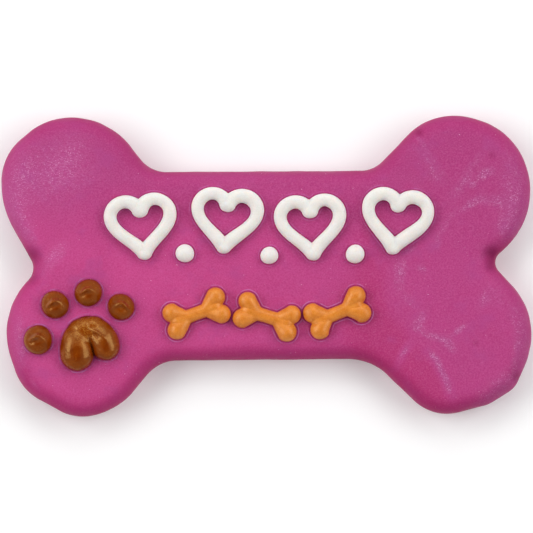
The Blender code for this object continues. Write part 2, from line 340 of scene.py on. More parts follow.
# Bands of the biscuit in which its looks change, in metres: along it where the paw print ends and at
# its middle
PAW_END = (-0.038, -0.032)
MIDDLE = (-0.01, 0.01)

# The pad's grainy middle, where glints are painted as pale sparkle: x, y and radius in millimetres
PAD_GLINTS = (-51.0, -17.0, 9)


def unit(vector):
    return vector / np.linalg.norm(vector)


def bone_outline(step):
    """Evenly spaced points of the outline in millimetres, and their outward unit vectors."""
    corners = np.array(BONE_CORNERS)
    points, outwards = [], []
    for i, (x, y, radius) in enumerate(corners):
        corner = np.array((x, y))
        back = unit(corners[i - 1, :2] - corner)
        ahead = unit(corners[(i + 1) % len(corners), :2] - corner)
        half = math.acos(back @ ahead) / 2
        centre = corner + unit(back + ahead) * radius / math.sin(half)
        first = corner + back * radius / math.tan(half) - centre
        turn = 1 if back[0] * ahead[1] - back[1] * ahead[0] < 0 else -1
        sweep = np.linspace(0, turn * (math.pi - 2 * half), 40)
        angles = math.atan2(first[1], first[0]) + sweep
        spokes = np.column_stack((np.cos(angles), np.sin(angles)))
        points.append(centre + radius * spokes)
        outwards.append(spokes * turn)
    points, outwards = np.concatenate(points), np.concatenate(outwards)
    points -= (points.min(axis=0) + points.max(axis=0)) / 2
    points = np.vstack((points, points[:1]))
    outwards = np.vstack((outwards, outwards[:1]))
    along = np.concatenate(([0], np.cumsum(np.linalg.norm(np.diff(points, axis=0), axis=1))))
    places = np.linspace(0, along[-1], round(along[-1] / step), endpoint=False)
    points = np.column_stack([np.interp(places, along, points[:, axis]) for axis in (0, 1)])
    outwards = np.column_stack([np.interp(places, along, outwards[:, axis]) for axis in (0, 1)])
    return points, outwards / np.linalg.norm(outwards, axis=1)[:, None]


def waves(x, y, length, seed, count=12):
    """A smooth uneven field between about -1 and 1, made of plane waves near one wavelength."""
    random = np.random.default_rng(seed)
    total = np.zeros_like(x)
    for _ in range(count):
        way, phase = random.uniform(0, math.tau, 2)
        pitch = math.tau / (length * random.uniform(0.7, 1.5))
        total += np.sin((x * math.cos(way) + y * math.sin(way)) * pitch + phase)
    return total / math.sqrt(count)


def hills(x, y, shapes):
    """The sum of round hills or dents, each (centre x, centre y, height, radius)."""
    total = np.zeros_like(x)
    for centre_x, centre_y, height, radius in shapes:
        total += height * np.exp(-((x - centre_x) ** 2 + (y - centre_y) ** 2) / radius**2)
    return total


def base_relief(x, y):
    """Height of the icing above TOP, without what the piping and small flaws do to it."""
    uneven = 0.10 * waves(x, y, 26, 1) + 0.035 * waves(x, y, 9, 2)
    return hills(x, y, SWELLS) + uneven


def pinholes():
    """Tiny pits scattered in the icing."""
    random = np.random.default_rng(8)
    places = random.uniform((-70, -38), (70, 38), (PINHOLES, 2))
    return [(x, y, -random.uniform(0.05, 0.12), random.uniform(0.25, 0.5)) for x, y in places]


def icing_relief(x, y, gap):
    """Height of the icing above TOP, where gap is the distance to the nearest piping."""
    flaws = hills(x, y, SMALL_DENTS) + hills(x, y, pinholes()) + 0.010 * waves(x, y, 3.2, 3)
    depth, groove_width = GROOVE
    height, middle, rim_width = RIM
    beside = height * np.exp(-(((gap - middle) / rim_width) ** 2))
    beside -= depth * np.exp(-((np.maximum(gap, 0) / groove_width) ** 2))
    return base_relief(x, y) + flaws + beside


def bloom_sheen_shade(x, y):
    """How pale the icing is with bloomed streaks and a painted sheen haze; below zero, how deep its
    colour is with painted shade.
    """
    total = np.zeros_like(x)
    for centre_x, centre_y, length, width, tilt, strength in BLOOM_SHEEN_AND_SHADE:
        angle = math.radians(tilt)
        along = (x - centre_x) * math.cos(angle) + (y - centre_y) * math.sin(angle)
        across = (y - centre_y) * math.cos(angle) - (x - centre_x) * math.sin(angle)
        total += strength * np.exp(-4 * ((along / length) ** 2 + (across / width) ** 2))
    return total


def stroke_relief(x, y, route):
    """Height of a soft ridge or groove along a route with columns x, y, height and width."""
    route = smooth_route(route, STROKE_STEP)
    distance = np.hypot(x[:, None] - route[:, 0], y[:, None] - route[:, 1])
    nearest = distance.argmin(axis=1)
    return route[nearest, 2] * np.exp(-((distance.min(axis=1) / route[nearest, 3]) ** 2))


def turned(points, x, y, tilt):
    """Plan points turned by tilt degrees and moved to x, y; further columns are kept."""
    points = np.array(points, dtype=float)
    angle = math.radians(tilt)
    spin = np.array(((math.cos(angle), math.sin(angle)), (-math.sin(angle), math.cos(angle))))
    points[:, :2] = points[:, :2] @ spin + (x, y)
    return points


def smooth_route(route, step=BEAD_STEP):
    """Evenly spaced points on a smooth curve through the route's points, with their further columns."""
    route = np.array(route, dtype=float)
    padded = np.vstack((2 * route[0] - route[1], route, 2 * route[-1] - route[-2]))
    t = np.linspace(0, 1, 16, endpoint=False)[:, None]
    dense = []
    for a, b, c, d in zip(padded, padded[1:], padded[2:], padded[3:]):
        lead, trail = (c - a) / 2, (d - b) / 2
        bend = (2 * t**3 - 3 * t**2 + 1) * b + (t**3 - 2 * t**2 + t) * lead
        dense.append(bend + (3 * t**2 - 2 * t**3) * c + (t**3 - t**2) * trail)
    dense = np.vstack((*dense, route[-1:]))
    along = np.concatenate(([0], np.cumsum(np.linalg.norm(np.diff(dense[:, :2], axis=0), axis=1))))
    places = np.linspace(0, along[-1], max(3, round(along[-1] / step)))
    return np.column_stack([np.interp(places, along, column) for column in dense.T])


def heart_routes(random):
    """The two halves of a heart, each from its dip to its point, as columns x, y, half width, lift."""
    width, _ = HEART_BEAD
    scale = (HEART_WIDTH - width) / 32
    first, last = HEART_ANGLES
    routes = []
    for side, lift in ((-1, 0.0), (1, 0.3)):
        share = np.linspace(0, 1, 24)
        angle = first + (last - first) * share
        power = np.where(angle < math.pi / 2, 3.0, 2.6)
        x = side * 16 * np.sin(angle) ** power * scale * random.uniform(0.97, 1.03)
        y = 13 * np.cos(angle) - 5 * np.cos(2 * angle) - 2 * np.cos(3 * angle) - np.cos(4 * angle)
        y = (y + 2.5) * scale
        start, end = random.uniform(0.08, 0.20), random.uniform(0.0, 0.10)
        wobble = 0.05 * np.sin(share * random.uniform(9, 14) + random.uniform(0, 6))
        thinner = random.uniform(0.04, 0.12) * np.sin(math.pi * share**0.8) ** 2
        half_width = width / 2 * (1 + start * (1 - share) ** 3 + end * share**3 - thinner + wobble)
        rise = lift * (share**8 + (1 - share) ** 8)
        routes.append(smooth_route(np.column_stack((x, y, half_width, rise))))
    return routes


def small_bone_routes(random):
    """A shank, and at each end two short beads pulled into it from the knobs."""
    length, width = SMALL_BONE_SIZE
    knob, _ = KNOB
    knob_x, knob_y = (length - knob) / 2, (width - knob) / 2
    shank = []
    for share, thick in ((-0.85, 1.12), (-0.3, 0.96), (0.3, 0.95), (0.85, 1.1)):
        shank.append((knob_x * share, 0, SHANK[0] / 2 * thick, 0))
    routes = [smooth_route(shank)]
    for end in (-1, 1):
        for side in (-1, 1):
            reach = random.uniform(0.96, 1.03)
            radius = knob / 2 * random.uniform(0.96, 1.03)
            routes.append(smooth_route((
                (end * knob_x * reach, side * knob_y, radius, 0.1),
                (end * (knob_x - 1.2), side * knob_y * 0.72, radius * 0.84, 0.12),
                (end * (knob_x - 3.2), side * knob_y * 0.22, radius * 0.62, 0.05),
            )))
    return routes


def bead_mesh(route, height, uneven=0.03, crest_power=1.0):
    """Vertices and faces of a piped bead: round ends, a flat base below z 0, and an uneven girth.

    A crest_power under 1 flattens its top, and one over 1 narrows it.
    """
    sides = np.linspace(0, math.pi, 17)
    middle = np.median(route[:, 2])
    phase = route[0, 0] * 3.1
    ends = np.radians((84, 70, 55, 40, 26, 12))
    first, last = unit(route[0, :2] - route[1, :2]), unit(route[-1, :2] - route[-2, :2])
    stations = []
    for angle in ends:
        centre = route[0, :2] + first * route[0, 2] * math.sin(angle)
        stations.append((centre, -first, route[0], math.cos(angle)))
    for i, here in enumerate(route):
        ahead = unit(route[min(i + 1, len(route) - 1), :2] - route[max(i - 1, 0), :2])
        stations.append((here[:2], ahead, here, 1.0))
    for angle in ends[::-1]:
        centre = route[-1, :2] + last * route[-1, 2] * math.sin(angle)
        stations.append((centre, last, route[-1], math.cos(angle)))
    verts = []
    for i, (centre, ahead, (_, _, half_width, lift), size) in enumerate(stations):
        across = np.array((ahead[1], -ahead[0]))
        crest = height * math.sqrt(half_width / middle) * (1 + uneven * math.sin(i * 0.55 + phase))
        axis = max(0.16 * crest, crest - half_width)
        over = np.concatenate((np.cos(sides), (-0.86, -0.45, 0.45, 0.86)))
        arch = np.sin(sides).clip(0, 1) ** crest_power
        up = np.concatenate((axis + (crest - axis) * arch + lift, (-SINK,) * 4))
        up = axis + (up - axis) * (0.25 + 0.75 * size)
        plan = centre + np.outer(over * half_width * size, across)
        verts.append(np.column_stack((plan, up)))
    ring = len(verts[0])
    faces = band_faces(len(verts), ring)
    faces += [tuple(range(ring)), tuple(range((len(verts) - 1) * ring, len(verts) * ring))[::-1]]
    return np.vstack(verts), faces


def band_faces(rings, ring):
    """Quads between consecutive rings of vertices."""
    faces = []
    for low in range(0, (rings - 1) * ring, ring):
        for i in range(ring):
            after = (i + 1) % ring
            faces.append((low + i, low + ring + i, low + ring + after, low + after))
    return faces


def blob_mesh(x, y, radius, height, roundness=0.55, sides=40):
    """Vertices and faces of a round blob with a full side and a flat base below z 0."""
    around = np.linspace(0, math.tau, sides, endpoint=False)
    squash = 1 + 0.02 * np.sin(2 * around + x) + 0.012 * np.sin(3 * around + y)
    profile = [(0.86, -SINK), (0.93, 0.05 * height), (0.99, 0.18 * height)]
    for angle in np.linspace(0, math.pi / 2, 12, endpoint=False):
        up = 0.28 + 0.72 * math.sin(angle) ** (2 * roundness)
        profile.append((math.cos(angle) ** (2 * roundness), up * height))
    profile.append((0.02, height))
    rings = []
    for share, up in profile:
        plan = np.column_stack((np.cos(around), np.sin(around))) * (share * radius * squash)[:, None]
        rings.append(np.column_stack((plan + (x, y), np.full(sides, up))))
    faces = [tuple(face[::-1]) for face in band_faces(len(rings), sides)]
    faces += [tuple(range(sides))[::-1], tuple(range((len(rings) - 1) * sides, len(rings) * sides))]
    return np.vstack(rings), faces


def combined(meshes):
    """One list of vertices and faces from several."""
    verts, faces, start = [], [], 0
    for mesh_verts, mesh_faces in meshes:
        verts.append(mesh_verts)
        faces += [tuple(start + i for i in face) for face in mesh_faces]
        start += len(mesh_verts)
    return np.vstack(verts), faces


def new_object(name, verts, faces):
    """A smooth-shaded object from vertices in millimetres, with its faces out."""
    mesh = bpy.data.meshes.new(name)
    mesh.from_pydata((np.asarray(verts) * MM).tolist(), [], faces)
    mesh.update()
    mesh.shade_smooth()
    made = bpy.data.objects.new(name, mesh)
    bpy.context.scene.collection.objects.link(made)
    return made


def apply_modifiers(obj):
    graph = bpy.context.evaluated_depsgraph_get()
    graph.update()
    made = bpy.data.meshes.new_from_object(obj.evaluated_get(graph))
    obj.modifiers.clear()
    obj.data = made
    made.shade_smooth()


def vertex_array(mesh):
    flat = np.empty(len(mesh.vertices) * 3)
    mesh.vertices.foreach_get("co", flat)
    return flat.reshape(-1, 3)


def piped_piece(node, slot, material, meshes, strokes=(), smoothing=3, grain=0.010, seed=0):
    """The piping of one node: overlapping closed meshes melted into one skin over the icing's top.

    Strokes are ridges and grooves in its upper side.
    """
    made = new_object("piped_" + node, *combined(meshes))
    remesh = made.modifiers.new("melt", "REMESH")
    remesh.mode = "VOXEL"
    remesh.voxel_size = VOXEL * MM
    smooth = made.modifiers.new("soften", "SMOOTH")
    smooth.factor = 0.5
    smooth.iterations = smoothing
    apply_modifiers(made)
    mesh = made.data
    verts = vertex_array(mesh) / MM
    normals = np.array([vert.normal for vert in mesh.vertices])
    rough = 0.6 * waves(verts[:, 0] + verts[:, 2], verts[:, 1], 1.1, seed)
    rough += waves(verts[:, 0], verts[:, 1] + verts[:, 2], 3.0, seed + 1)
    facing_up = np.clip(normals[:, 2] * 1.6 - 0.3, 0, 1)
    for route in strokes:
        verts[:, 2] += facing_up * stroke_relief(verts[:, 0], verts[:, 1], route)
    verts += normals * (grain * rough)[:, None]
    store(made, "rise", verts[:, 2])
    verts[:, 2] += TOP + base_relief(verts[:, 0], verts[:, 1])
    mesh.vertices.foreach_set("co", (verts * MM).ravel())
    mesh.update()
    mesh.materials.append(material)
    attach(made, "root")
    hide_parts(node)


def discs_of(routes):
    """The round footprints of beads, as rows x, y, radius."""
    return np.vstack([route[:, :3] for route in routes])


def make_hearts(material):
    footprints = []
    for i, (x, y, tilt) in enumerate(HEARTS, 1):
        random = np.random.default_rng(20 + i)
        routes = [turned(route, x, y, tilt) for route in heart_routes(random)]
        meshes = [bead_mesh(route, HEART_BEAD[1], crest_power=0.75) for route in routes]
        piped_piece(f"heart_{i}", "white_icing", material, meshes, seed=30 + i)
        footprints += routes
    return discs_of(footprints)


def make_dots(material):
    for i, (x, y, diameter) in enumerate(DOTS, 1):
        meshes = [blob_mesh(x, y, diameter / 2, DOT_HEIGHT)]
        piped_piece(f"dot_{i}", "white_icing", material, meshes, seed=40 + i)
    return np.array([(x, y, diameter / 2) for x, y, diameter in DOTS])


def make_small_bones(material):
    footprints = []
    for i, (x, y, tilt) in enumerate(SMALL_BONES, 1):
        random = np.random.default_rng(50 + i)
        routes = [turned(route, x, y, tilt) for route in small_bone_routes(random)]
        heights = [SHANK[1]] + [KNOB[1]] * 4
        meshes = [bead_mesh(route, height) for route, height in zip(routes, heights)]
        fineness = {"smoothing": 2, "grain": 0.012, "seed": 60 + i}
        piped_piece(f"small_bone_{i}", "orange_icing", material, meshes, **fineness)
        footprints += routes
    return discs_of(footprints)


def make_toes(material):
    """The four toes. A swirl that is turned by more than 90 degrees is mirrored as well."""
    for i, (x, y, diameter, turn) in enumerate(TOES, 1):
        radius = diameter / 2
        meshes = [blob_mesh(x, y, radius, TOE_HEIGHT - TOE_CURL, 0.62)]
        mirror = -1 if turn > 90 else 1
        strokes = []
        for shape in (TOE_RIDGE, TOE_HOLLOW):
            sized = np.array(shape) * (radius, radius * mirror, 1, radius)
            strokes.append(turned(sized, x, y, turn))
        piped_piece(f"toe_{i}", "brown_icing", material, meshes, strokes, grain=0.008, seed=70 + i)
    return np.array([(x, y, diameter / 2) for x, y, diameter, _ in TOES])


def make_pad(material):
    routes = [smooth_route(route) for route in PAD_BEADS]
    meshes = [bead_mesh(route, PAD_HEIGHT, 0, PAD_CREST) for route in routes]
    strokes = (PAD_CLEFT, PAD_LIP, PAD_FOLD)
    piped_piece("pad", "brown_icing", material, meshes, strokes, seed=80)
    return discs_of(routes)


def gap_to_discs(points, discs):
    """Distance from plan points to the nearest footprint's edge, negative inside it."""
    gap = np.full(len(points), np.inf)
    for x, y, radius in discs:
        gap = np.minimum(gap, np.hypot(points[:, 0] - x, points[:, 1] - y) - radius)
    return gap


def depth_in(points, plan):
    """Distance from plan points to the plan's edge, negative outside it."""
    nearest = np.full(len(points), np.inf)
    inside = np.zeros(len(points), dtype=bool)
    for start, end in zip(np.roll(plan, 1, axis=0), plan):
        along = end - start
        share = np.clip((points - start) @ along / (along @ along), 0, 1)
        nearest = np.minimum(nearest, np.linalg.norm(points - start - share[:, None] * along, axis=1))
        crosses = (start[1] > points[:, 1]) != (end[1] > points[:, 1])
        if along[1]:
            edge_x = start[0] + (points[:, 1] - start[1]) / along[1] * along[0]
            inside ^= crosses & (points[:, 0] < edge_x)
    return np.where(inside, nearest, -nearest)


def grid(step):
    """Points of a triangular grid over the biscuit."""
    half_length, half_width = GRID_REACH
    rows = np.arange(-half_width, half_width, step * math.sqrt(0.75))
    columns = np.arange(-half_length, half_length, step)
    x, y = np.meshgrid(columns, rows)
    x[::2] += step / 2
    return np.column_stack((x.ravel(), y.ravel()))


def top_points(plan, discs):
    """Points inside the top: fine beside the piping, coarser elsewhere, coarsest under the piping."""
    under, clear = BESIDE
    chosen = []
    zones = (OPEN_STEP, clear, math.inf), (NEAR_STEP, under, clear), (HIDDEN_STEP, -math.inf, under)
    for step, low, high in zones:
        points = grid(step)
        gap = gap_to_discs(points, discs)
        points = points[(gap > low) & (gap <= high)]
        chosen.append(points[depth_in(points, plan) > 0.45 * OPEN_STEP])
    return np.vstack(chosen)


def flat_fill(loop, inner):
    """Triangles that fill a loop and join the points inside it, which are numbered after the loop's."""
    plan = [Vector(point) for point in np.vstack((loop, inner)).tolist()]
    edges = [(i, (i + 1) % len(loop)) for i in range(len(loop))]
    _, _, faces, origins, _, _ = delaunay_2d_cdt(plan, edges, [], 1, 1e-7)
    order = [origin[0] for origin in origins]
    return [tuple(order[i] for i in face) for face in faces]


def edge_profile():
    """The rounded edge from the underside up: inset, height, and share of the top's relief."""
    profile = []
    for angle in np.radians(LOWER_RINGS):
        profile.append((UNDERSIDE_ROUNDING * (1 - math.sin(angle)), WIDEST * (1 - math.cos(angle)), 0.0))
    for angle in np.radians(UPPER_RINGS):
        rise = math.sin(angle) ** TOP_POWER
        inset = TOP_ROUNDING * (1 - max(math.cos(angle), 0) ** TOP_POWER)
        profile.append((inset, WIDEST + (TOP - WIDEST) * rise, rise * rise))
    return profile


def edge_rings(outline, outwards, discs):
    """Rings of vertices around the biscuit, from its underside up to where its top begins."""
    rings = []
    for inset, height, share in edge_profile():
        plan = outline - outwards * inset
        relief = share * icing_relief(plan[:, 0], plan[:, 1], gap_to_discs(plan, discs))
        uneven = 0.03 * waves(plan[:, 0] + height, plan[:, 1] - height, 8, 7)
        sides = (1 - share) * min(height, 1) * uneven
        shifted = plan + outwards * sides[:, None]
        rings.append(np.column_stack((shifted, height + relief)))
    return rings


def biscuit_mesh(outline, outwards, discs):
    """Vertices and faces of the biscuit: its edge, then its top, then its underside."""
    rings = edge_rings(outline, outwards, discs)
    count = len(outline)
    faces = [tuple(face[::-1]) for face in band_faces(len(rings), count)]
    top_loop, last = rings[-1][:, :2], (len(rings) - 1) * count
    inner = top_points(top_loop, discs)
    relief = icing_relief(*inner.T, gap_to_discs(inner, discs))
    verts = [*rings, np.column_stack((inner, TOP + relief))]
    for face in flat_fill(top_loop, inner):
        faces.append(tuple(last + i for i in face))
    under_loop = rings[0][:, :2]
    under = grid(UNDERSIDE_STEP)
    under = under[depth_in(under, under_loop) > 0.5 * UNDERSIDE_STEP]
    start = sum(len(part) for part in verts)
    lift = UNDERSIDE_UNEVEN * (1 + waves(under[:, 0], under[:, 1], 9, 9).clip(-1, 1))
    verts.append(np.column_stack((under, lift)))
    for face in flat_fill(under_loop, under):
        faces.append(tuple(i if i < count else start + i - count for i in face[::-1]))
    return np.vstack(verts), faces


def make_biscuit(material, discs):
    outline, outwards = bone_outline(OUTLINE_STEP)
    ragged = 0.035 * waves(*outline.T, 16, 5) + 0.012 * waves(*outline.T, 5, 6)
    outline = outline + outwards * ragged[:, None]
    verts, faces = biscuit_mesh(outline, outwards, discs)
    made = new_object("iced_biscuit", verts, faces)
    plan = verts[:, :2]
    store(made, "piping_gap", np.minimum(gap_to_discs(plan, discs), 9))
    store(made, "edge_depth", depth_in(plan, outline))
    store(made, "bloom_sheen_shade", bloom_sheen_shade(verts[:, 0], verts[:, 1]))
    made.data.materials.append(material)
    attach(made, "root")
    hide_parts("biscuit")


def store(obj, name, values):
    """Keeps one number for each vertex, for the material to read."""
    attribute = obj.data.attributes.new(name, "FLOAT", "POINT")
    attribute.data.foreach_set("value", np.asarray(values, dtype=np.float32))


class Nodes:
    """Builds a material's nodes: each method adds one and returns its output."""

    def __init__(self, name):
        self.material = bpy.data.materials.new(name)
        self.material.use_nodes = True
        self.tree = self.material.node_tree
        self.shader = self.tree.nodes["Principled BSDF"]
        self.place = self.add("TexCoord").outputs["Object"]

    def add(self, kind, inputs=(), **settings):
        made = self.tree.nodes.new("ShaderNode" + kind)
        for key, value in settings.items():
            setattr(made, key, value)
        for key, value in dict(inputs).items():
            self.put(made.inputs[key], value)
        return made

    def put(self, socket, value):
        if isinstance(value, bpy.types.NodeSocket):
            self.tree.links.new(value, socket)
        else:
            socket.default_value = value

    def noise(self, size, detail=2.0, roughness=0.5, stretch=None, turn=0.0):
        """Noise with features of about size millimetres, stretched along X by a factor and turned."""
        place = self.place
        if stretch:
            mapping = self.add("Mapping", {"Vector": place})
            mapping.inputs["Rotation"].default_value = (0, 0, math.radians(-turn))
            mapping.inputs["Scale"].default_value = (1 / stretch, 1, 1)
            place = mapping.outputs["Vector"]
        inputs = {"Vector": place, "Scale": 1 / (size * MM), "Detail": detail, "Roughness": roughness}
        return self.add("TexNoise", inputs).outputs["Fac"]

    def dots(self, size, share):
        """Scattered soft dots in cells of about size millimetres; share is a dot's part of its cell."""
        inputs = {"Vector": self.place, "Scale": 1 / (size * MM)}
        distance = self.add("TexVoronoi", inputs).outputs["Distance"]
        return self.step(distance, share * 0.4, share, 1, 0)

    def step(self, value, low, high, start=0.0, end=1.0):
        """Goes smoothly from start to end as value goes from low to high."""
        inputs = {"Value": value, "From Min": low, "From Max": high, "To Min": start, "To Max": end}
        return self.add("MapRange", inputs, interpolation_type="SMOOTHSTEP").outputs["Result"]

    def math(self, operation, a, b=0.0):
        made = self.add("Math", operation=operation)
        self.put(made.inputs[0], a)
        self.put(made.inputs[1], b)
        return made.outputs[0]

    def mix(self, share, a, b):
        made = self.add("Mix", data_type="RGBA")
        for index, value in ((0, share), (6, a), (7, b)):
            self.put(made.inputs[index], value)
        return made.outputs[2]

    def number(self, name):
        """A number kept with the mesh's vertices."""
        return self.add("Attribute", attribute_name=name).outputs["Fac"]

    def axis(self, name):
        """One of the place's coordinates, in metres."""
        return self.add("SeparateXYZ", {"Vector": self.place}).outputs[name]

    def near(self, x, y, radius):
        """1 at a place seen from above, given in millimetres, falling to 0 at the radius."""
        flat = self.add("VectorMath", {0: self.place, 1: (1, 1, 0)}, operation="MULTIPLY")
        ends = {0: flat.outputs["Vector"], 1: (x * MM, y * MM, 0)}
        distance = self.add("VectorMath", ends, operation="DISTANCE").outputs["Value"]
        return self.step(distance, 0, radius * MM, 1, 0)

    def bump(self, height, distance, normal=None):
        """A normal roughened by a height from 0 to 1 that stands for distance in millimetres."""
        made = self.add("Bump", {"Height": height, "Distance": distance * MM, "Strength": 1.0})
        if normal:
            self.put(made.inputs["Normal"], normal)
        return made.outputs["Normal"]

    def finish(self, colour, roughness, normal, **fixed):
        """The material. Further sockets of its shader are named with underscores for spaces."""
        self.put(self.shader.inputs["Base Color"], colour)
        self.put(self.shader.inputs["Roughness"], roughness)
        self.put(self.shader.inputs["Normal"], normal)
        for key, value in fixed.items():
            self.shader.inputs[key.replace("_", " ")].default_value = value
        return self.material


def plain_magenta(n, grain, bloom_sheen_shade):
    """The icing's colour: mottled, duller towards +X and +Y, deeper where shade is painted in, and
    grainy.
    """
    mottle = n.noise(14, 3)
    colour = n.mix(n.step(mottle, 0.35, 0.65), (0.510, 0.060, 0.222, 1), (0.552, 0.067, 0.242, 1))
    along = n.step(n.axis("X"), -0.035, 0.055)
    across = n.step(n.axis("Y"), 0.004, 0.028, 0, 0.9)
    colour = n.mix(n.math("MAXIMUM", along, across), colour, (0.445, 0.055, 0.209, 1))
    colour = n.mix(n.step(n.axis("Y"), -0.002, 0.026, 0, 0.36), colour, (0.340, 0.042, 0.165, 1))
    # Painted shade: deeper colour in the hollows and low places given below zero in the table
    colour = n.mix(n.step(bloom_sheen_shade, -0.7, 0, 0.75, 0), colour, (0.430, 0.036, 0.150, 1))
    colour = n.mix(n.step(grain, 0.38, 0.75, 0, 0.44), colour, (0.62, 0.13, 0.34, 1))
    colour = n.mix(n.step(grain, 0.25, 0.50, 0.35, 0), colour, (0.36, 0.035, 0.140, 1))
    purple = n.step(n.noise(9, 3, 0.6), 0.52, 0.70, 0, 0.40)
    return n.mix(purple, colour, (0.42, 0.070, 0.250, 1))


def painted_edge_shade(n, colour, edge):
    """Painted shade: deeper colour along the biscuit's edge, most of all at its rim and towards -Y."""
    shade_side = n.step(n.axis("Y"), -0.018, -0.004, 0.26, 0)
    low = n.math("MULTIPLY", shade_side, n.step(edge, 2.0, 7.0, 1, 0))
    colour = n.mix(low, colour, (0.360, 0.020, 0.115, 1))
    colour = n.mix(n.step(edge, 0.0, 5.2, 0.46, 0), colour, (0.310, 0.004, 0.088, 1))
    return n.mix(n.step(edge, 0.0, 1.6, 0.38, 0), colour, (0.300, 0.002, 0.070, 1))


def pale_bloom_and_sheen(n, colour, bloom_sheen_shade, edge):
    """A haze of painted sheen with fine bloomed speckle in it, brushed one way on each half, and a few
    specks everywhere.
    """
    # Painted sheen: a pale haze where the field is above zero
    painted_sheen = n.step(bloom_sheen_shade, 0.05, 1.2, 0, 0.32)
    right = n.step(n.axis("X"), *MIDDLE)
    colour = n.mix(painted_sheen, colour, n.mix(right, (0.54, 0.13, 0.37, 1), (0.36, 0.09, 0.26, 1)))
    falling = n.noise(0.27, 2, 0.6, stretch=3.2, turn=-55)
    rising = n.noise(0.27, 2, 0.6, stretch=2.6, turn=42)
    fine = n.step(n.mix(right, falling, rising), 0.46, 0.62, 0, 0.40)
    fine = n.math("MAXIMUM", fine, n.dots(0.55, 0.36))
    clumps = n.step(n.noise(1.2, 4, 0.65), 0.40, 0.58, 0.18, 1)
    clumps = n.math("MAXIMUM", clumps, n.step(n.axis("X"), *MIDDLE, 0.50, 0))
    speckle = n.math("MULTIPLY", n.math("MULTIPLY", fine, clumps), n.step(bloom_sheen_shade, 0.08, 0.95, 0, 0.70))
    speckle = n.math("MULTIPLY", speckle, n.step(edge, 0.5, 7.0, 0.25, 1))
    colour = n.mix(speckle, colour, (0.80, 0.40, 0.66, 1))
    specks = n.step(n.noise(0.55, 1, 0.4), 0.785, 0.82, 0, 0.55)
    return n.mix(specks, colour, (0.86, 0.55, 0.75, 1))


def painted_fold_shade(n, colour):
    # Painted shade in the folds and dents
    for x, y, radius, strength in FOLD_SHADE:
        fold_shade = n.math("MULTIPLY", n.near(x, y, radius), strength)
        colour = n.mix(fold_shade, colour, (0.17, 0.004, 0.050, 1))
    return colour


def piping_shadow_and_highlight(n, colour):
    """A painted contact shadow by the piping, and a painted highlight line farther out.

    Both are closer in at the paw print.
    """
    gap = n.math("ADD", n.number("piping_gap"), n.step(n.axis("X"), *PAW_END, 0.20, 0))
    # Painted contact shadow close to the piping
    contact_shadow = n.math("MULTIPLY", n.step(gap, 0.02, 0.30, 0.42, 0), n.step(gap, -1.2, -0.8))
    colour = n.mix(contact_shadow, colour, (0.30, 0.015, 0.085, 1))
    # Painted highlight: a pale line over the low rim
    highlight_line = n.math("MULTIPLY", n.step(gap, 0.36, 0.52), n.step(gap, 0.56, 0.76, 1, 0))
    highlight_line = n.math("MULTIPLY", highlight_line, n.step(n.noise(3.0, 2), 0.38, 0.60, 0.05, 0.85))
    highlight_line = n.math("MULTIPLY", highlight_line, n.step(n.axis("Y"), -0.006, 0.000, 0.85, 0.40))
    highlight_line = n.math("MULTIPLY", highlight_line, n.step(n.axis("X"), *PAW_END, 1.0, 0.95))
    return n.mix(highlight_line, colour, (0.60, 0.24, 0.55, 1))


def magenta_icing():
    n = Nodes("magenta_icing")
    bloom_sheen_shade = n.number("bloom_sheen_shade")
    edge = n.number("edge_depth")
    grain = n.noise(0.42, 3, 0.7)
    colour = plain_magenta(n, grain, bloom_sheen_shade)
    colour = painted_edge_shade(n, colour, edge)
    colour = pale_bloom_and_sheen(n, colour, bloom_sheen_shade, edge)
    colour = painted_fold_shade(n, colour)
    colour = piping_shadow_and_highlight(n, colour)
    roughness = n.step(n.noise(5, 3), 0.3, 0.7, 0.44, 0.56)
    coarse = n.bump(n.noise(1.6, 3, 0.6), 0.022)
    normal = n.bump(grain, 0.018, coarse)
    return n.finish(
        colour,
        roughness,
        normal,
        Subsurface_Weight=0.28,
        Subsurface_Scale=0.0024,
        Subsurface_Radius=(1.0, 0.20, 0.40),
        Specular_IOR_Level=0.06,
        Specular_Tint=(1, 0.55, 0.85, 1),
    )


def white_icing():
    n = Nodes("white_icing")
    rise = n.number("rise")
    colour = n.mix(n.noise(2.5, 3), (0.90, 0.880, 0.845, 1), (0.94, 0.920, 0.885, 1))
    # Painted shade: darker towards the crests, evening out the light that falls on them
    colour = n.mix(n.step(rise, 0.6, 2.5, 0, 0.80), colour, (0.755, 0.740, 0.710, 1))
    grain = n.noise(0.40, 3, 0.7)
    colour = n.mix(n.step(grain, 0.30, 0.62, 0.45, 0), colour, (0.68, 0.655, 0.61, 1))
    colour = n.mix(n.step(rise, 0.0, 0.5, 0.65, 0), colour, (0.82, 0.44, 0.46, 1))
    roughness = n.step(n.noise(1.5, 2), 0.3, 0.7, 0.40, 0.54)
    normal = n.bump(grain, 0.016)
    return n.finish(
        colour,
        roughness,
        normal,
        Subsurface_Weight=0.90,
        Subsurface_Scale=0.0028,
        Subsurface_Radius=(1.0, 0.75, 0.6),
        Specular_IOR_Level=0.35,
    )


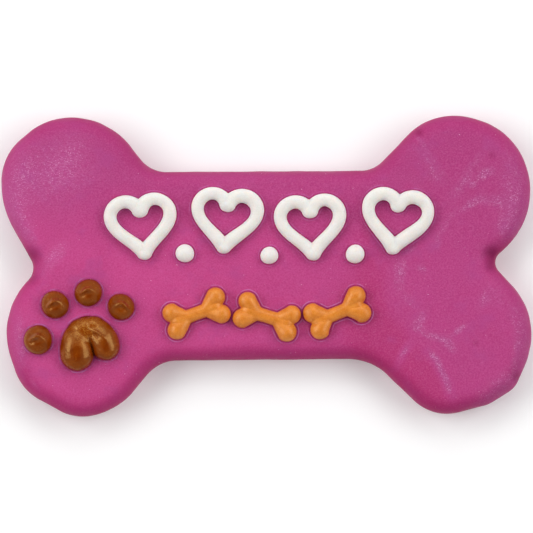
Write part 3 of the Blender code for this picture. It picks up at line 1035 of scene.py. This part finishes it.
def orange_icing():
    n = Nodes("orange_icing")
    colour = n.mix(n.step(n.noise(1.8, 3), 0.3, 0.7), (0.66, 0.197, 0.017, 1), (0.76, 0.252, 0.030, 1))
    grain = n.noise(0.35, 3, 0.7)
    colour = n.mix(n.step(grain, 0.48, 0.75, 0, 0.40), colour, (0.86, 0.38, 0.10, 1))
    colour = n.mix(n.step(grain, 0.28, 0.50, 0.35, 0), colour, (0.46, 0.115, 0.010, 1))
    # Painted shade: darker low on the beads' sides
    colour = n.mix(n.step(n.number("rise"), 0.3, 1.9, 0.75, 0), colour, (0.37, 0.038, 0.0, 1))
    roughness = n.step(n.noise(1.2, 2), 0.3, 0.7, 0.31, 0.42)
    normal = n.bump(grain, 0.030)
    return n.finish(
        colour,
        roughness,
        normal,
        Subsurface_Weight=0.10,
        Subsurface_Scale=0.0010,
        Subsurface_Radius=(1.0, 0.5, 0.2),
        Specular_IOR_Level=0.62,
        Specular_Tint=(1, 0.78, 0.55, 1),
    )


def brown_icing():
    n = Nodes("brown_icing")
    colour = n.mix(n.step(n.noise(3.0, 3), 0.3, 0.7), (0.174, 0.022, 0.0, 1), (0.240, 0.039, 0.0, 1))
    grain = n.noise(0.40, 3, 0.75)
    colour = n.mix(n.step(grain, 0.50, 0.80, 0, 0.26), colour, (0.33, 0.105, 0.004, 1))
    # Painted glints: pale sparkle on the pad's middle
    painted_glints = n.math("MULTIPLY", n.step(n.noise(0.26, 2, 0.6), 0.48, 0.62), n.near(*PAD_GLINTS))
    colour = n.mix(n.math("MULTIPLY", painted_glints, 0.8), colour, (0.42, 0.16, 0.020, 1))
    colour = n.mix(n.step(n.noise(0.6, 2), 0.25, 0.42, 0.3, 0), colour, (0.11, 0.010, 0.0, 1))
    rise = n.number("rise")
    # Painted shade: dark low rims on the toes and pad
    colour = n.mix(n.step(rise, 0.3, 1.6, 0.70, 0), colour, (0.125, 0.003, 0.0, 1))
    colour = n.mix(n.step(rise, 0.0, 0.9, 0.80, 0), colour, (0.070, 0.001, 0.0, 1))
    roughness = n.step(n.noise(1.5, 3), 0.3, 0.7, 0.20, 0.28)
    normal = n.bump(grain, 0.018)
    return n.finish(
        colour,
        roughness,
        normal,
        Subsurface_Weight=0.06,
        Subsurface_Scale=0.0008,
        Subsurface_Radius=(1.0, 0.4, 0.2),
        Specular_IOR_Level=0.85,
        Specular_Tint=(1, 0.66, 0.23, 1),
    )


def pale_floor():
    n = Nodes("pale_floor")
    colour = n.mix(n.noise(40, 2), (0.90, 0.90, 0.90, 1), (0.93, 0.93, 0.93, 1))
    normal = n.bump(n.noise(2, 2), 0.004)
    return n.finish(colour, 0.7, normal, Emission_Color=(1, 1, 1, 1), Emission_Strength=0.10)


def make_floor(material):
    half = FLOOR_HALF
    corners = [(-half, -half, 0), (half, -half, 0), (half, half, 0), (-half, half, 0)]
    made = new_object("floor", corners, [(0, 1, 2, 3)])
    made.data.materials.append(material)


def area_light(name, place, size, power):
    """A soft rectangular light that faces the biscuit."""
    data = bpy.data.lights.new(name, "AREA")
    data.shape = "RECTANGLE"
    data.size, data.size_y = size
    data.energy = power
    made = bpy.data.objects.new(name, data)
    made.location = place
    made.rotation_euler = (-Vector(place)).to_track_quat("-Z", "Y").to_euler()
    bpy.context.scene.collection.objects.link(made)


def light_scene():
    for name, place, size, power in SOFTBOXES:
        area_light(name, place, size, power)
    light_world()
    bpy.context.scene.view_settings.view_transform = "Standard"


def light_world():
    """White light from all round that darkens overhead."""
    world = bpy.context.scene.world or bpy.data.worlds.new("world")
    bpy.context.scene.world = world
    world.use_nodes = True
    tree = world.node_tree
    background = tree.nodes["Background"]
    background.inputs["Color"].default_value = (1.0, 1.0, 1.0, 1)
    way = tree.nodes.new("ShaderNodeTexCoord")
    parts = tree.nodes.new("ShaderNodeSeparateXYZ")
    fade = tree.nodes.new("ShaderNodeMapRange")
    for name, value in zip(("From Min", "From Max", "To Min", "To Max"), SKY_FADE + SKY_STRENGTH):
        fade.inputs[name].default_value = value
    tree.links.new(way.outputs["Generated"], parts.inputs["Vector"])
    tree.links.new(parts.outputs["Z"], fade.inputs["Value"])
    tree.links.new(fade.outputs["Result"], background.inputs["Strength"])


def place_camera():
    """Looks straight down, as the photograph does, from where a pixel covers MM_PER_PIXEL at WIDEST."""
    data = bpy.data.cameras.new("camera")
    data.lens = LENS
    data.sensor_width = SENSOR_WIDTH
    data.clip_start = 0.01
    x, y = CAMERA_PLACE
    height = WIDEST + PHOTO_WIDTH * MM_PER_PIXEL * LENS / SENSOR_WIDTH
    made = bpy.data.objects.new("camera", data)
    made.location = (x * MM, y * MM, height * MM)
    bpy.context.scene.collection.objects.link(made)
    bpy.context.scene.camera = made


def main():
    place_camera()
    light_scene()
    make_floor(pale_floor())
    white = white_icing()
    discs = [make_hearts(white), make_dots(white), make_small_bones(orange_icing())]
    brown = brown_icing()
    discs += [make_toes(brown), make_pad(brown)]
    make_biscuit(magenta_icing(), np.vstack(discs))


main()
